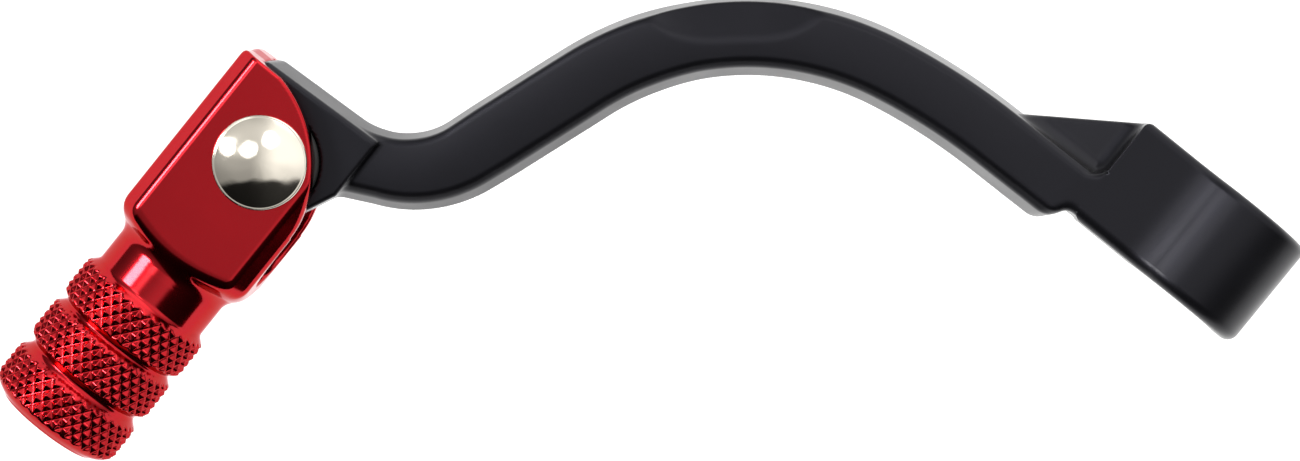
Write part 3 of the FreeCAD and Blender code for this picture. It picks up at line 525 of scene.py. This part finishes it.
def domed_pin():
    """The pin and its polished head, with the faint waves of a head that was closed by hand."""
    head, shank = (PIN_HIGH[0] - PIN_LOW[0]) / 2, PIN_RADIUS
    seat, top = BRACKET_HALF_HEIGHT, PIN_HIGH[2]
    ball = (head ** 2 + DOME_HEIGHT ** 2) / (2 * DOME_HEIGHT)
    groove_top = -BRACKET_HALF_HEIGHT - PIN_GROOVE_GAP
    groove_low = groove_top - PIN_GROOVE_WIDTH
    profile = [(0.02, PIN_LOW[2]), (shank - 0.3, PIN_LOW[2]), (shank, PIN_LOW[2] + 0.3), (shank, groove_low)]
    profile += [(PIN_GROOVE_RADIUS, groove_low), (PIN_GROOVE_RADIUS, groove_top), (shank, groove_top)]
    profile += [(shank, seat), (head - 0.2, seat)]
    for step in range(7):
        turn = math.pi / 2 * step / 6
        profile.append((head - 0.25 + 0.25 * math.sin(turn), seat + 0.25 - 0.25 * math.cos(turn)))
    for step in range(1, 7):
        turn = math.radians(62) * step / 6
        profile.append((head - 0.4 + 0.4 * math.cos(turn), seat + 0.55 + 0.4 * math.sin(turn)))
    edge = profile[-1][0]
    for step in range(1, 61):
        out = edge * (1 - step / 60.5)
        profile.append((out, top - ball + math.sqrt(ball ** 2 - out ** 2)))
    columns = 128
    angle = np.arange(columns) / columns * 2 * math.pi
    out, up = np.array(profile).T
    out, angle = np.meshgrid(out, angle, indexing="ij")
    up = np.repeat(up[:, None], columns, 1)
    wave = 0.014 * np.sin(5 * angle + 0.4) + 0.008 * np.sin(9 * angle + 2 + out) + 0.008 * np.sin(2 * out + angle)
    up = up + np.where(up > seat + 0.7, wave * np.clip(out / 4, 0, 1) ** 2, 0)
    points = np.stack([PIVOT[0] + out * np.cos(angle), PIVOT[1] + out * np.sin(angle), up], -1).reshape(-1, 3)
    quads = lathe_quads(len(profile), columns)
    first, last = np.arange(columns)[::-1], np.arange(len(points) - columns, len(points))
    loops = np.concatenate([quads.ravel(), first, last])
    sides = np.concatenate([np.full(len(quads), 4), [columns, columns]])
    return finish_piece("domed_pin", points, loops, sides, "tip", "polished_steel", "pivot_pin")


# --- materials -----------------------------------------------------------------------------------


PATCH_SIZE = 6.0  # of the areas that are slightly duller or shinier than the rest


def surface(name, colour, metallic, roughness, grain, wear=0.05, **inputs):
    """A Principled surface: grain is its size and depth, and wear is how far the roughness varies."""
    material = bpy.data.materials.new(name)
    material.use_nodes = True
    nodes, links = material.node_tree.nodes, material.node_tree.links
    shader = nodes["Principled BSDF"]
    shader.inputs["Base Color"].default_value = (*colour, 1)
    shader.inputs["Metallic"].default_value = metallic
    for key, value in inputs.items():
        shader.inputs[key.replace("_", " ").title().replace("Ior", "IOR")].default_value = value
    place = nodes.new("ShaderNodeTexCoord")
    patches = nodes.new("ShaderNodeTexNoise")
    patches.inputs["Scale"].default_value = 1 / (PATCH_SIZE * MM)
    patches.inputs["Detail"].default_value = 4
    spread = nodes.new("ShaderNodeMapRange")
    spread.inputs["From Min"].default_value = 0.3
    spread.inputs["From Max"].default_value = 0.7
    spread.inputs["To Min"].default_value = roughness - wear
    spread.inputs["To Max"].default_value = roughness + wear
    fine = nodes.new("ShaderNodeTexNoise")
    fine.inputs["Scale"].default_value = 1 / (grain[0] * MM)
    fine.inputs["Detail"].default_value = 3
    bump = nodes.new("ShaderNodeBump")
    bump.inputs["Strength"].default_value = 1.0
    bump.inputs["Distance"].default_value = grain[1] * MM
    links.new(place.outputs["Object"], patches.inputs["Vector"])
    links.new(place.outputs["Object"], fine.inputs["Vector"])
    links.new(patches.outputs["Fac"], spread.inputs["Value"])
    links.new(spread.outputs["Result"], shader.inputs["Roughness"])
    links.new(fine.outputs["Fac"], bump.inputs["Height"])
    links.new(bump.outputs["Normal"], shader.inputs["Normal"])
    return material


materials = {
    "black_anodised_aluminium": surface(
        "black_anodised", (0.003, 0.003, 0.0035), 0.0, 0.42, grain=(0.35, 0.004), wear=0.06,
        specular_ior_level=0.14, specular_tint=(0.7, 0.7, 1.0, 1), coat_weight=1.0, coat_ior=1.2, coat_roughness=0.3,
    ),
    "red_anodised_aluminium": surface(
        "red_anodised", (0.43, 0.005, 0.011), 1.0, 0.14, grain=(0.5, 0.0015), wear=0.03,
        coat_weight=0.3, coat_roughness=0.05, specular_tint=(0.75, 0.28, 0.3, 1),
    ),
    "polished_steel": surface("polished_steel", (0.76, 0.71, 0.62), 1.0, 0.1, grain=(0.6, 0.004), wear=0.05),
    "bronze": surface("bronze", (0.55, 0.36, 0.16), 1.0, 0.35, grain=(0.3, 0.002)),
    "spring_steel": surface("spring_steel", (0.35, 0.34, 0.33), 1.0, 0.3, grain=(0.2, 0.002)),
    "rubber": surface("rubber", (0.012, 0.012, 0.012), 0.0, 0.6, grain=(0.15, 0.004)),
    "zinc_plated_steel": surface("zinc_plate", (0.6, 0.61, 0.63), 1.0, 0.32, grain=(0.25, 0.002)),
}


# --- studio --------------------------------------------------------------------------------------


SCREEN_WAY = (-0.63, 0.78, 0)
BRIGHTER_WAY = (-0.8, -0.6, 0)
FLOOR_PLACE, FLOOR_SIZE = (0.05, 0.04, -0.09), 6
CAMERA_PLACE, CAMERA_TARGET = (58.0, 20.2, 500.0), (55.6, 41.9, 0.0)
CAMERA_ACROSS, CAMERA_ANGLE = (-0.777, -0.629, 0), math.radians(18.45)

# Direction, cosines of the soft edge's outer and inner limits, and strength. In order: the edge light, a wide
# weak glow above the tip, two spots for the dome, and a low light on the engine's side.
SOFT_BOXES = [
    ((0.69, 0.21, 0.69), 0.976, 0.993, 30.0),
    ((0.66, -0.1, 0.75), 0.85, 0.99, 0.3),
    ((0.384, 0.0, 0.919), 0.98, 0.9992, 3.5),
    ((0.185, -0.405, 0.894), 0.982, 0.9992, 3.0),
    ((0.15, -0.95, 0.28), 0.86, 0.97, 1.6),
]


def studio():
    """A white room: bright above, some soft boxes, a dark screen to one side, and a white floor."""
    world = bpy.data.worlds.new("studio")
    bpy.context.scene.world = world
    world.use_nodes = True
    nodes, links = world.node_tree.nodes, world.node_tree.links
    background = nodes["Background"]
    place = nodes.new("ShaderNodeTexCoord")

    def toward(way, start, end, low, high):
        """Goes from low to high as the direction turns towards a way."""
        dot = nodes.new("ShaderNodeVectorMath")
        dot.operation = "DOT_PRODUCT"
        dot.inputs[1].default_value = Vector(way).normalized()
        links.new(place.outputs["Generated"], dot.inputs[0])
        ramp = nodes.new("ShaderNodeMapRange")
        ramp.interpolation_type = "SMOOTHSTEP"
        ramp.inputs["From Min"].default_value = start
        ramp.inputs["From Max"].default_value = end
        ramp.inputs["To Min"].default_value = low
        ramp.inputs["To Max"].default_value = high
        links.new(dot.outputs["Value"], ramp.inputs["Value"])
        return ramp.outputs["Result"]

    def combine(operation, a, b):
        node = nodes.new("ShaderNodeMath")
        node.operation = operation
        links.new(a, node.inputs[0])
        links.new(b, node.inputs[1])
        return node.outputs["Value"]

    ceiling = toward((0, 0, 1), 0.0, 0.85, 0.3, 0.9)
    dusk = toward(SCREEN_WAY, -0.1, 0.36, 1.0, 0.7)
    screen = toward(SCREEN_WAY, 0.30, 0.40, 1.0, 0.03)
    brighter = toward(BRIGHTER_WAY, -0.3, 0.3, 0.6, 1.65)
    glow = combine("MULTIPLY", combine("MULTIPLY", ceiling, dusk), combine("MULTIPLY", brighter, screen))
    for way, start, end, strength in SOFT_BOXES:
        glow = combine("ADD", glow, toward(way, start, end, 0.0, strength))
    links.new(glow, background.inputs["Strength"])
    background.inputs["Color"].default_value = (1.0, 0.99, 0.97, 1)
    backdrop = nodes.new("ShaderNodeBackground")
    backdrop.inputs["Color"].default_value = (0.95, 0.95, 0.95, 1)
    seen = nodes.new("ShaderNodeLightPath")
    mix = nodes.new("ShaderNodeMixShader")
    links.new(seen.outputs["Is Camera Ray"], mix.inputs["Fac"])
    links.new(background.outputs["Background"], mix.inputs[1])
    links.new(backdrop.outputs["Background"], mix.inputs[2])
    links.new(mix.outputs["Shader"], nodes["World Output"].inputs["Surface"])

    bpy.ops.mesh.primitive_plane_add(size=FLOOR_SIZE, location=FLOOR_PLACE)
    floor = bpy.context.object
    floor.name = "floor"
    paper = bpy.data.materials.new("paper")
    paper.use_nodes = True
    shader = paper.node_tree.nodes["Principled BSDF"]
    shader.inputs["Base Color"].default_value = (0.25, 0.25, 0.25, 1)
    shader.inputs["Roughness"].default_value = 0.9
    shader.inputs["Emission Color"].default_value = (1, 1, 1, 1)
    shader.inputs["Emission Strength"].default_value = 1.0
    floor.data.materials.append(paper)


def camera():
    """Above the lever, with the tip at the left and the hub at the right."""
    place, target = Vector(CAMERA_PLACE) * MM, Vector(CAMERA_TARGET) * MM
    back = (place - target).normalized()
    across = Vector(CAMERA_ACROSS)
    across = (across - back * across.dot(back)).normalized()
    up = back.cross(across)
    data = bpy.data.cameras.new("camera")
    data.sensor_width = 36
    data.angle = CAMERA_ANGLE
    data.clip_start = 0.01
    view = bpy.data.objects.new("camera", data)
    view.matrix_world = Matrix.Translation(place) @ Matrix((across, up, back)).transposed().to_4x4()
    bpy.context.scene.collection.objects.link(view)
    bpy.context.scene.camera = view
    bpy.context.scene.view_settings.view_transform = "Standard"


studio()
camera()

for node in frame["nodes"].values():
    slot_name = next(part["material_slot"] for part in frame["record"]["subparts"] if part["node"] == node.name)
    node.data.materials.clear()
    node.data.materials.append(materials[slot_name])

coarse = 1.0
skinned_piece(
    "forged_arm", lever_arm, ARM_LOW, ARM_HIGH, ARM_CELL * coarse, "arm", "black_anodised_aluminium", "lever_arm",
)
bracket_high = (TIP_HIGH[0], NECK_JOIN + 2, TIP_HIGH[2])
skinned_piece(
    "tip_bracket", bracket, TIP_LOW, bracket_high, BRACKET_CELL * coarse, "tip", "red_anodised_aluminium", "toe_peg",
)
knurled_peg()
domed_pin()
